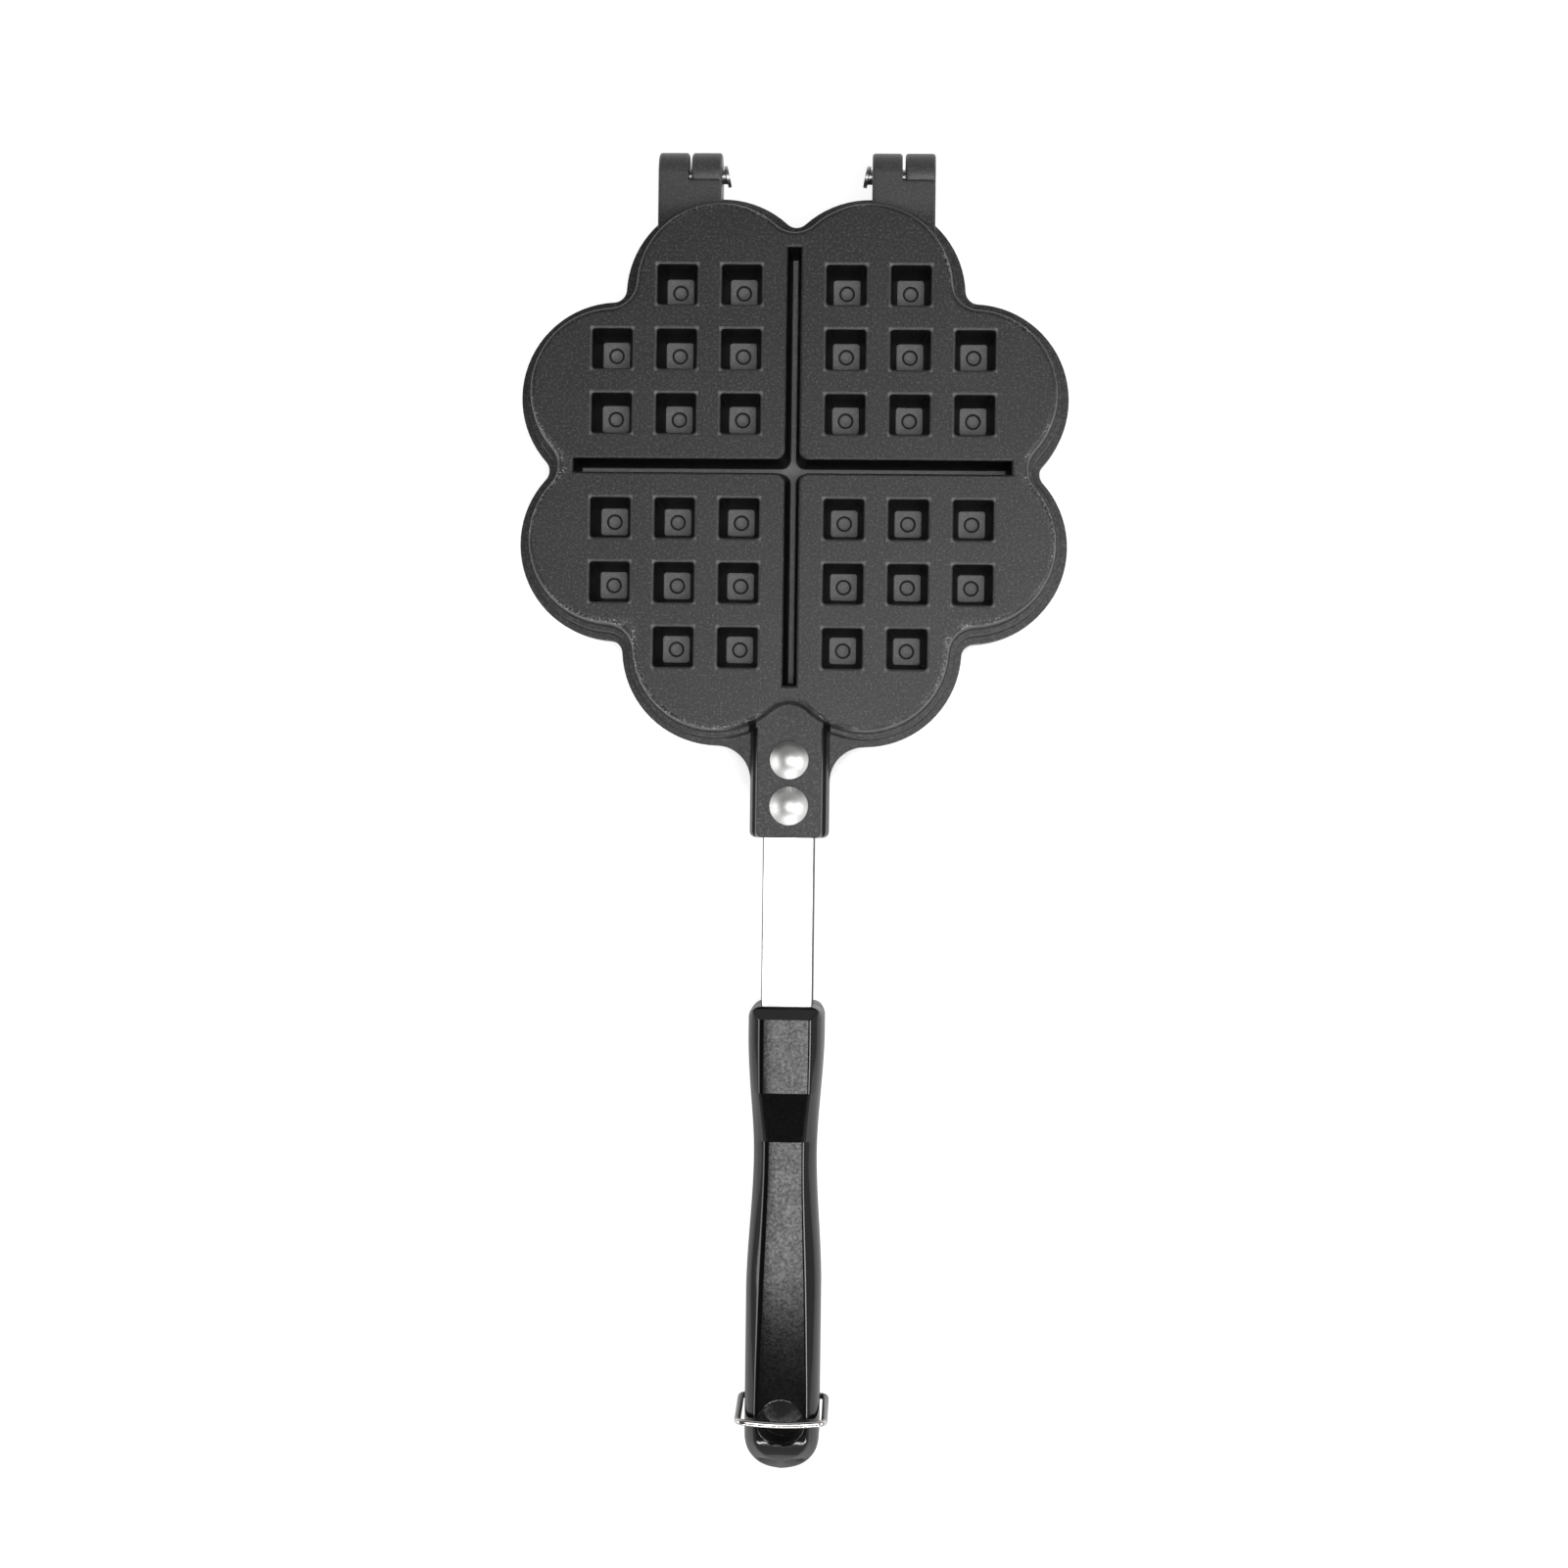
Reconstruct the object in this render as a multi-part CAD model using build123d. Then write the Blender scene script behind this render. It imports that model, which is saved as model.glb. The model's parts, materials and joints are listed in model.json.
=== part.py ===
from build123d import *

import os
from math import cos, pi, radians, sin, sqrt

# Folding waffle mould for the stove top. Two like castings, each with four heart cavities,
# are hinged at the back. A riveted steel strap joins each one to its plastic handle, and a
# wire latch on the lower handle holds the upper one down.
#
# Millimetres. The model is drawn about the middle of the plates, with the parting plane at
# z = 0, the hinge towards +Y and the handles towards -Y, and is moved to its frame at the end.
# A half is always drawn as the upper one, and the lower one is the same half turned over.

# Plate outline: eight round lobes, two to a heart
LOBES = 8
lobe_step = 360 / LOBES
lobe_centre_radius = 51.0
lobe_radius = 25.6
valley_radius = 3.5

# Heights of the casting above the parting plane
plate_height = 16.5
shoulder_height = 9.5
flange_thickness = 3.0
parting_gap = 0.2

# How far each tier stands in from the rim, and how much its wall leans
shoulder_inset = 1.6
face_inset = 3.3
wall_draft = 6.0
face_edge_radius = 1.1

# Cavity
land_width = 3.6
skin_thickness = 2.3
cavity_draft = 11.0

# Pyramid pockets in the outside, which are the studs of the waffle pattern inside
pocket_first = 13.66
last_pocket_past_lobe = 0.26214
pockets_in_row = 3
pocket_mouth = 10.6
pocket_floor = 7.0
pocket_depth = 12.3
pocket_corner = 0.8
mouth_chamfer = 0.4
dimple_radius = 2.0
dimple_depth = 0.5
stud_wall = 1.9
stud_tip_gap = 1.7
stud_root_depth = 0.8

# Cross grooves in the outside, which part the hearts inside
groove_end_to_valley = 4.60263
groove_mouth = 3.7
groove_floor = 1.3
groove_crossing_radius = 2.6

# Hinge
hinge_distance = 79.5
knuckle_radius = 6.2
knuckle_edge_radius = 0.8
knuckle_clearance = 0.35
lug_inner = 20.0
knuckle_width = 8.0
knuckle_gap = 0.8
pin_radius = 2.0
pin_running_clearance = 0.05
pin_head_radius = 2.9
pin_head_thickness = 0.9
pin_head_tilt = 12.0
pin_head_clearance = 0.35

# Neck that carries the strap
neck_end = 97.0
neck_width = 21.0
neck_pad_width = 16.9
neck_corner_radius = 1.6
gusset_radius = 9.3

# Strap
strap_width = 13.5
strap_thickness = 2.0
strap_side_clearance = 0.2
neck_pad_thickness = 3.0
strap_in_neck = 26.0
strap_in_handle = 46.0

# Rivets
rivet_spacing = 12.1
rivet_from_neck_end = 8.4
rivet_head_radius = 5.1
rivet_head_height = 3.0
rivet_shank_radius = 2.25
rivet_tail_radius = 3.4
rivet_tail_height = 1.2

# Handle
handle_front = 141.2
handle_length = 123.0
handle_half_gap = 0.4
handle_front_width = 20.0
handle_front_round = 3.2
handle_front_drop = 3.0
straight_from_front = 7.5
waist_width = 16.6
narrowest_from_front = 40.0
widest_from_front = 76.0
handle_end_radius = 9.9
handle_end_flat = 1.4
end_fullness = 2.4
pad_height = 15.5
pad_panel_width = 13.0
pad_length = 22.4
slope_foot_height = 10.6
slope_foot_panel_width = 10.0
slope_foot_from_front = 35.7
grip_height = 12.0
grip_panel_width = 13.7
bevel_depth = 2.6
least_bevel = 0.1
side_lean = 0.7
lean_limit = 0.33
upright_share = 0.55
panel_limit = 0.92
front_angles = (0, 25, 50, 70, 90)
end_angles = (0, 20, 40, 55, 68, 78, 85, 90)

# Hanging hole
hole_radius = 5.8
hole_from_end = 13.7
hole_rim_radius = 6.5
hole_rim_depth = 2.0

# Handle screw
screw_from_front = 27.5
screw_radius = 1.5
screw_length = 9.0
screw_head_radius = 2.8
screw_head_height = 1.8
screw_recess_clearance = 0.3

# Wire latch
wire_radius = 0.85
latch_pivot_from_end = 16.7
latch_pivot_depth = 8.0
latch_bar_from_end = 14.3
latch_leg_clearance = 0.65
latch_clearance = 0.3
latch_running_clearance = 0.05
latch_grip_depth = 3.6
latch_bend_radius = 2.2

# How far a cutting shape runs past the surface that it opens, the length of one that passes
# through a whole half, and a difference between two places that counts as none
cut_overrun = 1.0
cut_through = 60.0
same_place = 0.01

# Worked out from the sizes above. The last pocket of a row lies by its lobe's centre, and each
# groove ends short of the valley between two lobes of the face.
lobe_centre_across = lobe_centre_radius * cos(radians(lobe_step / 2))
lobe_centre_aside = lobe_centre_radius * sin(radians(lobe_step / 2))
pocket_pitch = (lobe_centre_across + last_pocket_past_lobe - pocket_first) / (pockets_in_row - 1)
face_valley_radius = valley_radius + face_inset
face_valley_centre = lobe_centre_across + sqrt(
    (lobe_radius - face_inset + face_valley_radius) ** 2 - lobe_centre_aside**2
)
groove_half_length = face_valley_centre - face_valley_radius - groove_end_to_valley
land_height = parting_gap / 2
ceiling_height = plate_height - skin_thickness
pocket_lean = (pocket_mouth - pocket_floor) / 2 / pocket_depth
pocket_floor_height = plate_height - pocket_depth
groove_lean = (groove_mouth - groove_floor) / 2 / pocket_depth
lug_outer = lug_inner + 2 * knuckle_width + knuckle_gap
strap_top = shoulder_height - neck_pad_thickness
strap_bottom = strap_top - strap_thickness
handle_end = handle_front + handle_length
rivet_places = [neck_end - rivet_from_neck_end - rivet_spacing, neck_end - rivet_from_neck_end]
latch_pivot_distance = handle_end - latch_pivot_from_end
latch_bar_distance = handle_end - latch_bar_from_end
latch_bar_height = grip_height + wire_radius + latch_clearance
latch_reach = sqrt(
    (latch_bar_distance - latch_pivot_distance) ** 2
    + (latch_bar_height + latch_pivot_depth) ** 2
)
latch_leg_offset = handle_end_radius + latch_leg_clearance + wire_radius


# Plates


def polar(radius, angle):
    return Vector(radius * cos(radians(angle)), radius * sin(radians(angle)))


def lobed_face(inset, height=0.0):
    """The plate's outline, drawn in from the rim by inset."""
    lobe = lobe_radius - inset
    valley = valley_radius + inset
    valley_centre = lobe_centre_across + sqrt((lobe + valley) ** 2 - lobe_centre_aside**2)
    share = lobe / (lobe + valley)
    arcs = []
    for k in range(LOBES):
        middle = (k + 0.5) * lobe_step
        centre = polar(lobe_centre_radius, middle)
        next_centre = polar(lobe_centre_radius, middle + lobe_step)
        valley_before = polar(valley_centre, k * lobe_step)
        valley_after = polar(valley_centre, (k + 1) * lobe_step)
        start = centre + (valley_before - centre) * share
        end = centre + (valley_after - centre) * share
        next_start = next_centre + (valley_after - next_centre) * share
        lobe_tip = polar(lobe_centre_radius + lobe, middle)
        valley_bottom = polar(valley_centre - valley, (k + 1) * lobe_step)
        arcs.append(ThreePointArc(start, lobe_tip, end))
        arcs.append(ThreePointArc(end, valley_bottom, next_start))
    return Pos(0, 0, height) * make_face(arcs)


def tier(inset, bottom, top, draft):
    """One storey of the casting, its wall leaning inwards by draft degrees."""
    return extrude(lobed_face(inset, bottom), top - bottom, taper=draft)


def frustum(bottom_size, top_size, bottom, top):
    """A flat-sided block between one rectangle and a larger or smaller one above it."""
    x, y = bottom_size
    x_over = (top_size[0] - x) / 2
    y_over = (top_size[1] - y) / 2
    wedge = Wedge(x, top - bottom, y, -x_over, -y_over, x + x_over, y + y_over)
    return Pos(0, 0, (bottom + top) / 2) * Rot(90, 0, 0) * wedge


def crossed_bars(bottom_size, top_size, bottom, top):
    """Two like bars that cross in the middle of the plate."""
    bar = frustum(bottom_size, top_size, bottom, top)
    return bar + Rot(0, 0, 90) * bar


def with_broken_edge(void, size):
    """The same hollow, with a small chamfer round its mouth in the plate's face."""
    depth = pocket_depth + skin_thickness
    block = Pos(0, 0, plate_height - depth / 2) * Box(size, size, depth)
    around = block - void
    mouth = around.faces().sort_by(Axis.Z)[-1].inner_wires()[0]
    return block - chamfer(mouth.edges(), mouth_chamfer)


def stud_places():
    """Eight places to a heart: three by three, without the one at the heart's waist."""
    steps = range(pockets_in_row)
    return [
        Pos(x_sign * (pocket_first + i * pocket_pitch), y_sign * (pocket_first + j * pocket_pitch))
        for x_sign in (-1, 1)
        for y_sign in (-1, 1)
        for i in steps
        for j in steps
        if (i, j) != (steps[-1], steps[-1])
    ]


def pocket():
    """One pyramid pocket, with a round dimple in its floor."""
    floor = (pocket_floor, pocket_floor)
    mouth = (pocket_mouth, pocket_mouth)
    void = frustum(floor, mouth, pocket_floor_height, plate_height)
    slanted = void.edges().filter_by(lambda edge: edge.bounding_box().size.Z > pocket_depth / 2)
    void = fillet(slanted, pocket_corner)
    dimple = Pos(0, 0, pocket_floor_height) * Cylinder(dimple_radius, 2 * dimple_depth)
    return with_broken_edge(void + dimple, pocket_pitch)


def crossed_groove():
    """The two grooves in the outside, which meet in a star."""
    floor = (2 * (groove_half_length - groove_lean * pocket_depth), groove_floor)
    mouth = (2 * groove_half_length, groove_mouth)
    void = crossed_bars(floor, mouth, pocket_floor_height, plate_height)
    inner = void.edges().filter_by(
        lambda edge: edge.bounding_box().size.Z > pocket_depth / 2
        and max(abs(edge.center().X), abs(edge.center().Y)) < groove_mouth
    )
    return with_broken_edge(
        fillet(inner, groove_crossing_radius), 2 * (groove_half_length + groove_mouth)
    )


def cavity():
    """The hollow inside: a tray with the studs and the ridge standing in it."""
    root = ceiling_height + stud_root_depth
    fall = pocket_floor_height - stud_tip_gap
    rise = root - stud_tip_gap
    tip = pocket_floor + 2 * (stud_wall - pocket_lean * fall)
    base = tip + 2 * pocket_lean * rise
    crest = groove_floor + 2 * (stud_wall - groove_lean * fall)
    foot = crest + 2 * groove_lean * rise
    reach = 2 * (lobe_centre_radius + lobe_radius)
    stud = frustum((tip, tip), (base, base), stud_tip_gap, root)
    ridge = crossed_bars((reach, crest), (reach, foot), stud_tip_gap, root)
    standing = [place * stud for place in stud_places()] + [ridge]
    return tier(land_width, 0, ceiling_height, cavity_draft) - standing


def neck():
    """The trapezoid arm, with two curved gussets at flange level."""
    half = neck_width / 2
    pad_half = neck_pad_width / 2
    profile = Polyline(
        (-half, land_height),
        (half, land_height),
        (half, flange_thickness),
        (pad_half, shoulder_height),
        (-pad_half, shoulder_height),
        (-half, flange_thickness),
        close=True,
    )
    start = lobe_centre_radius
    arm = extrude(Location((0, -start, 0), (90, 0, 0)) * make_face(profile), neck_end - start)
    corners = arm.edges().filter_by(
        lambda edge: abs(edge.center().Y + neck_end) < same_place
        and abs(edge.center().X) > pad_half
        and edge.bounding_box().size.Z > same_place
    )
    arm = fillet(corners, neck_corner_radius)
    rim_foot = lobe_centre_across + lobe_radius
    web_end = rim_foot + gusset_radius
    web_half = half + gusset_radius
    web = Pos(0, -(start + web_end) / 2) * Rectangle(2 * web_half, web_end - start)
    for side in (-1, 1):
        web -= Pos(side * web_half, -web_end) * Circle(gusset_radius)
    return arm + extrude(Pos(0, 0, land_height) * web, flange_thickness - land_height)


def strap_room():
    """The channel for the strap under the neck, and the two rivet holes."""
    width = strap_width + 2 * strap_side_clearance
    start = neck_end - strap_in_neck
    end = neck_end + cut_overrun
    channel = Pos(0, -(start + end) / 2, strap_top / 2) * Box(width, end - start, strap_top)
    hole = Cylinder(rivet_shank_radius, 2 * (neck_pad_thickness + cut_overrun))
    return [channel] + [Pos(0, -place, strap_top) * hole for place in rivet_places]


def along_x(radius, x_low, x_high, y, z):
    """A round bar or hole that runs along X."""
    return Pos((x_low + x_high) / 2, y, z) * Rot(0, 90, 0) * Cylinder(radius, x_high - x_low)


def hinge_side():
    """Two lugs, each with one knuckle of this half, and the room for the other half's."""
    near = (lug_inner, lug_inner + knuckle_width)
    far = (lug_outer - knuckle_width, lug_outer)
    depth = hinge_distance - lobe_centre_radius
    height = knuckle_radius - land_height
    block = Box(lug_outer - lug_inner, depth, height)
    long_edges = block.edges().filter_by(Axis.Y)
    block = fillet(long_edges.group_by(Axis.Z)[-1], knuckle_edge_radius)
    middle = (lug_inner + lug_outer) / 2
    place = (lobe_centre_radius + depth / 2, land_height + height / 2)
    lugs = [Pos(side * middle, *place) * block for side in (-1, 1)]
    bars = [
        along_x(knuckle_radius, *span, hinge_distance, 0) for span in ((-far[1], -far[0]), near)
    ]
    knuckles = [
        fillet(bar.edges().filter_by(GeomType.CIRCLE), knuckle_edge_radius) for bar in bars
    ]
    room = [
        along_x(
            knuckle_radius + knuckle_clearance,
            low - knuckle_gap,
            high + cut_overrun,
            hinge_distance,
            0,
        )
        for low, high in ((-near[1], -near[0]), far)
    ]
    return lugs + knuckles, room


def casting():
    """One half of the mould, without its pin holes."""
    lugs_and_knuckles, room = hinge_side()
    shell = tier(0, land_height, flange_thickness, 0)
    shell += [
        tier(shoulder_inset, land_height, shoulder_height, wall_draft / 2),
        tier(face_inset, shoulder_height, plate_height, wall_draft),
        neck(),
        *lugs_and_knuckles,
    ]
    one_pocket = pocket()
    pockets = [place * one_pocket for place in stud_places()]
    shell -= [cavity(), *room, *strap_room(), *pockets, crossed_groove()]
    face = shell.faces().filter_by(Axis.Z).sort_by(Axis.Z)[-1]
    return fillet(face.outer_wire().edges(), face_edge_radius)


def with_pin_holes(shell, radius):
    reach = lug_outer + cut_overrun
    return shell - along_x(radius, -reach, reach, hinge_distance, 0)


# Hinge pins


def hinge_pin(side):
    """A plain pin whose thin head sits askew, further out on the plate's side."""
    reach = pin_head_radius * sin(radians(pin_head_tilt)) + pin_head_thickness / 2
    head_place = lug_inner - pin_head_clearance - reach
    shank = along_x(pin_radius, head_place, lug_outer, hinge_distance, 0)
    head = (
        Pos(head_place, hinge_distance, 0)
        * Rot(0, 0, -pin_head_tilt)
        * Rot(0, 90, 0)
        * Cylinder(pin_head_radius, pin_head_thickness)
    )
    pin = shank + head
    return pin if side > 0 else mirror(pin, Plane.YZ)


# Straps and rivets


def strap():
    start = neck_end - strap_in_neck
    end = handle_front + strap_in_handle
    bar = Pos(0, -(start + end) / 2, (strap_top + strap_bottom) / 2) * Box(
        strap_width, end - start, strap_thickness
    )
    for place in rivet_places:
        bar -= Pos(0, -place, 0) * Cylinder(rivet_shank_radius, cut_through)
    screw_place = handle_front + screw_from_front
    return bar - Pos(0, -screw_place, 0) * Cylinder(screw_radius, cut_through)


def neck_rivet(place):
    """Domed head on the neck, shank through neck and strap, flat closed end under the strap."""
    dome = (rivet_head_radius**2 + rivet_head_height**2) / (2 * rivet_head_height)
    top = shoulder_height + rivet_head_height
    tail = strap_bottom - rivet_tail_height
    arc_middle = dome * sin(pi / 8)
    profile = [
        Line((0, tail), (rivet_tail_radius, tail)),
        Line((rivet_tail_radius, tail), (rivet_tail_radius, strap_bottom)),
        Line((rivet_tail_radius, strap_bottom), (rivet_shank_radius, strap_bottom)),
        Line((rivet_shank_radius, strap_bottom), (rivet_shank_radius, shoulder_height)),
        Line((rivet_shank_radius, shoulder_height), (rivet_head_radius, shoulder_height)),
        ThreePointArc(
            (rivet_head_radius, shoulder_height),
            (arc_middle, top - dome + sqrt(dome**2 - arc_middle**2)),
            (0, top),
        ),
        Line((0, top), (0, tail)),
    ]
    face = Rot(90, 0, 0) * make_face(profile)
    return Pos(0, -place, 0) * revolve(face, Axis.Z)


# Handles


def ease(s, start, end, before, after):
    """A smooth change from one value to another between two stations."""
    t = min(max((s - start) / (end - start), 0.0), 1.0)
    return before + (after - before) * t * t * (3 - 2 * t)


def round_end(s, half):
    """Half the width at s of an outline that is half wide on each side and ends in a round."""
    along = max(s - (handle_length - handle_end_radius), 0.0) / half
    return half * max(1.0 - along**end_fullness, 0.0) ** (1 / end_fullness)


def handle_half_width(s):
    """Half the handle's width at distance s from its front."""
    front = handle_front_width / 2
    waist = waist_width / 2
    if s < handle_front_round:
        r = handle_front_round
        return front - r + sqrt(r * r - (r - s) ** 2)
    if s < narrowest_from_front:
        return ease(s, straight_from_front, narrowest_from_front, front, waist)
    if s < widest_from_front:
        return ease(s, narrowest_from_front, widest_from_front, waist, handle_end_radius)
    return max(round_end(s, handle_end_radius), handle_end_flat / 2)


def latch_swing_height(s):
    """The height under which the latch bar swings past the handle's end."""
    radius = latch_reach - wire_radius - latch_clearance
    along = s - (handle_length - latch_pivot_from_end)
    return sqrt(max(radius**2 - along**2, 0.0)) - latch_pivot_depth


def handle_top(s):
    """Height of the handle's top at distance s from its front."""
    if s < handle_front_round:
        return pad_height - handle_front_drop * (1 - s / handle_front_round)
    if s < pad_length:
        return pad_height
    foot = slope_foot_from_front
    if s < foot:
        return pad_height + (slope_foot_height - pad_height) * (s - pad_length) / (foot - pad_length)
    bar = handle_length - latch_bar_from_end
    if s < bar:
        return ease(s, foot, (foot + bar) / 2, slope_foot_height, grip_height)
    return min(latch_swing_height(s), grip_height)


def handle_brow(s):
    """Height of the bevel's lower edge, which meets the top at the front and at the round end."""
    crest = pad_height if s < handle_front_round else handle_top(s)
    bevel_width = handle_end_radius - grip_panel_width / 2
    share = min((handle_length - s) / bevel_width, 1.0)
    return min(crest - bevel_depth * share, handle_top(s) - least_bevel)


def handle_panel(s):
    """Half the width of the flat panel along the handle's top. It has mitred front corners."""
    pad = pad_panel_width / 2
    foot = slope_foot_panel_width / 2
    grip = grip_panel_width / 2
    centre = handle_length - handle_end_radius
    if s < handle_front_round:
        full = handle_front_width / 2 - side_lean
        wide = full + (pad - full) * s / handle_front_round
    elif s < pad_length:
        wide = pad
    elif s < slope_foot_from_front:
        wide = pad + (foot - pad) * (s - pad_length) / (slope_foot_from_front - pad_length)
    elif s < centre:
        wide = ease(s, slope_foot_from_front, centre, foot, grip)
    else:
        wide = max(round_end(s, grip), handle_end_flat / 4)
    return min(wide, panel_limit * handle_half_width(s))


def handle_section(s):
    half = handle_half_width(s)
    top = handle_top(s)
    panel = handle_panel(s)
    lean = min(side_lean, (half - panel) * lean_limit)
    brow = handle_brow(s)
    side = handle_half_gap + (brow - handle_half_gap) * upright_share
    outline = Polyline(
        (-half, handle_half_gap),
        (half, handle_half_gap),
        (half, side),
        (half - lean, brow),
        (panel, top),
        (-panel, top),
        (-(half - lean), brow),
        (-half, side),
        close=True,
    )
    return Location((0, -(handle_front + s), 0), (90, 0, 0)) * make_face(outline)


def between(start, end, count):
    """Evenly spaced stations after start, the last of them at end."""
    return [start + (end - start) * k / count for k in range(1, count + 1)]


def handle_stations():
    """Where the handle's sections lie, from its front to its round end."""
    centre = handle_length - handle_end_radius
    front = [handle_front_round * (1 - cos(radians(angle))) for angle in front_angles]
    end = [centre + handle_end_radius * sin(radians(angle)) for angle in end_angles]
    pad = between(handle_front_round, pad_length, 3)
    slope = between(pad_length, slope_foot_from_front, 2)
    grip = between(slope_foot_from_front, handle_length - latch_bar_from_end, 9)
    return front + pad + slope + grip + end


def handle(latch_holes):
    body = loft([handle_section(s) for s in handle_stations()], ruled=True)

    # Slot for the strap
    slot_depth = strap_in_handle
    body -= Pos(0, -(handle_front + slot_depth / 2), (strap_top + strap_bottom) / 2) * Box(
        strap_width, slot_depth, strap_thickness
    )

    # Hanging hole, with a steep lip at its outer mouth
    hole_place = handle_end - hole_from_end
    lip = Cone(hole_radius, hole_rim_radius, hole_rim_depth)
    body -= Pos(0, -hole_place, 0) * Cylinder(hole_radius, cut_through)
    body -= Pos(0, -hole_place, grip_height - hole_rim_depth / 2) * lip

    # Screw hole, with a recess for its head in the inner face
    screw_place = handle_front + screw_from_front
    recess = screw_head_height + screw_recess_clearance
    body -= Pos(0, -screw_place, handle_half_gap + recess / 2) * Cylinder(
        screw_head_radius + screw_recess_clearance, recess
    )
    body -= Pos(0, -screw_place, handle_half_gap + recess + screw_length / 2) * Cylinder(
        screw_radius, screw_length
    )
    if latch_holes:
        low = handle_end_radius - latch_grip_depth
        for side in (-1, 1):
            ends = sorted((side * low, side * 2 * handle_end_radius))
            body -= along_x(
                wire_radius + latch_running_clearance,
                *ends,
                -latch_pivot_distance,
                latch_pivot_depth,
            )
    return body


def handle_screw():
    place = handle_front + screw_from_front
    seat = handle_half_gap + screw_head_height + screw_recess_clearance
    head = Pos(0, -place, seat - screw_head_height / 2) * Cylinder(
        screw_head_radius, screw_head_height
    )
    head -= Pos(0, -place, seat - screw_head_height) * Box(
        2 * screw_head_radius, screw_radius / 2, screw_head_height
    )
    shank = Pos(0, -place, seat + screw_length / 2) * Cylinder(screw_radius, screw_length)
    return head + shank


# Wire latch


def wire_latch():
    """One bent wire: its two ends lie in the lower handle, its bar over the upper one."""
    inner = handle_end_radius - latch_grip_depth + latch_running_clearance
    pivot = (-latch_pivot_distance, -latch_pivot_depth)
    bar = (-latch_bar_distance, latch_bar_height)
    points = [
        (-inner, *pivot),
        (-latch_leg_offset, *pivot),
        (-latch_leg_offset, *bar),
        (latch_leg_offset, *bar),
        (latch_leg_offset, *pivot),
        (inner, *pivot),
    ]
    path = FilletPolyline(*points, radius=latch_bend_radius)
    return sweep(Plane(origin=points[0], z_dir=(-1, 0, 0)) * Circle(wire_radius), path=path)


# The whole object


def turned_over(solid):
    return Rot(0, 180, 0) * solid


plate = casting()
nodes = {
    "upper_plate": with_pin_holes(plate, pin_radius + pin_running_clearance),
    "lower_plate": turned_over(with_pin_holes(plate, pin_radius)),
    "hinge_pin_left": hinge_pin(-1),
    "hinge_pin_right": hinge_pin(1),
    "upper_strap": strap(),
    "lower_strap": turned_over(strap()),
    "upper_handle": handle(False),
    "lower_handle": turned_over(handle(True)),
    "handle_screw_upper": handle_screw(),
    "handle_screw_lower": turned_over(handle_screw()),
    "wire_latch": wire_latch(),
}
for name, place in zip(("plate_side", "handle_side"), rivet_places):
    nodes["neck_rivet_upper_" + name] = neck_rivet(place)
    nodes["neck_rivet_lower_" + name] = turned_over(neck_rivet(place))

# The frame's origin lies under the middle of the whole, on the lower plate's outer face
length = handle_end + hinge_distance + knuckle_radius
frame_shift = Pos(0, handle_end - length / 2, plate_height)
os.makedirs("parts", exist_ok=True)
for name, solid in nodes.items():
    export_step(frame_shift * solid, "parts/" + name + ".step")
    print(name, round(solid.volume, 1))
print("overall length", round(length, 2))
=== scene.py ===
import json
from math import cos, pi, radians, sin, sqrt

import bmesh
import bpy
from mathutils import Matrix, Vector

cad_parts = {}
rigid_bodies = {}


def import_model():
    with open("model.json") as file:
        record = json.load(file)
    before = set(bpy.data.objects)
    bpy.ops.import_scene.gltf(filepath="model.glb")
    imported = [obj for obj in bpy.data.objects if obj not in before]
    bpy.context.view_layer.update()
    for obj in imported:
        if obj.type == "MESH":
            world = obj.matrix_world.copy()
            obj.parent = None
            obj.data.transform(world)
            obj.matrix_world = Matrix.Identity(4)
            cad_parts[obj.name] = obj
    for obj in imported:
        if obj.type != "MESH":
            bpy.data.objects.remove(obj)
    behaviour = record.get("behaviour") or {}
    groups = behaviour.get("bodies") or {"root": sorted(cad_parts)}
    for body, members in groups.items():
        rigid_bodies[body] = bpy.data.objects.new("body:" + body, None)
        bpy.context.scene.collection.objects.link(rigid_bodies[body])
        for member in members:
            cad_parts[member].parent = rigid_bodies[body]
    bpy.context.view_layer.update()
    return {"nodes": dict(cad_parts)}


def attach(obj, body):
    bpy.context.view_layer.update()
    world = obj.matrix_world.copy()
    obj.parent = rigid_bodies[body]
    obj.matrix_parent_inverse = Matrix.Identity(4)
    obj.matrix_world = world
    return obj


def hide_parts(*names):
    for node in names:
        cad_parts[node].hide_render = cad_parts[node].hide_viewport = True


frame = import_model()
nodes = frame["nodes"]


# Castings: upper_plate and lower_plate
# Two like aluminium die castings, hinged at the back, with a matt, finely speckled, dark grey
# non-stick coat. It is blacker in the hollows and on the neck's steep sides, paler on the floors
# of the pockets and grooves, and chipped to bright metal here and there along the face's rim.

# Millimetres are counted from plate_middle, which lies on the plane where the halves meet
MM = 0.001
face_height = 16.5
plate_middle = Vector((0, 89.25, face_height)) * MM
lobe_centre = (47.12, 19.52)
face_lobe_radius = 22.3
chip_band = 2.4
lug_start = 66.0
neck_start = -65.0
neck_side_start, neck_side_end = 9.0, 10.6
coat_colour = (0.006, 0.0062, 0.0065, 1)
# The specks' colour, also used as painted light on the lugs and painted highlight on the rims
speck_and_painted_light_colour = (0.15, 0.15, 0.148, 1)
# Painted shade, for the hollows, the neck's steep sides and the dimples' rings
painted_shade_colour = (0.004, 0.004, 0.004, 1)
# Painted light, for the floors of the pockets and grooves
painted_floor_light_colour = (0.32, 0.32, 0.32, 1)
pocket_first, pocket_pitch, pocket_half = 13.66, 16.86, 5.3
pockets_start, pockets_end, bare_corner_start = 8.0, 53.5, 38.0
pocket_floor_half, pocket_lean = 3.5, 0.146
groove_floor_half, groove_lean, groove_reach = 0.65, 0.098, 57.0
pocket_floor_height = 4.2
dimple_radius = 2.0
bare_metal_colour = (0.5, 0.5, 0.49, 1)


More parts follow.
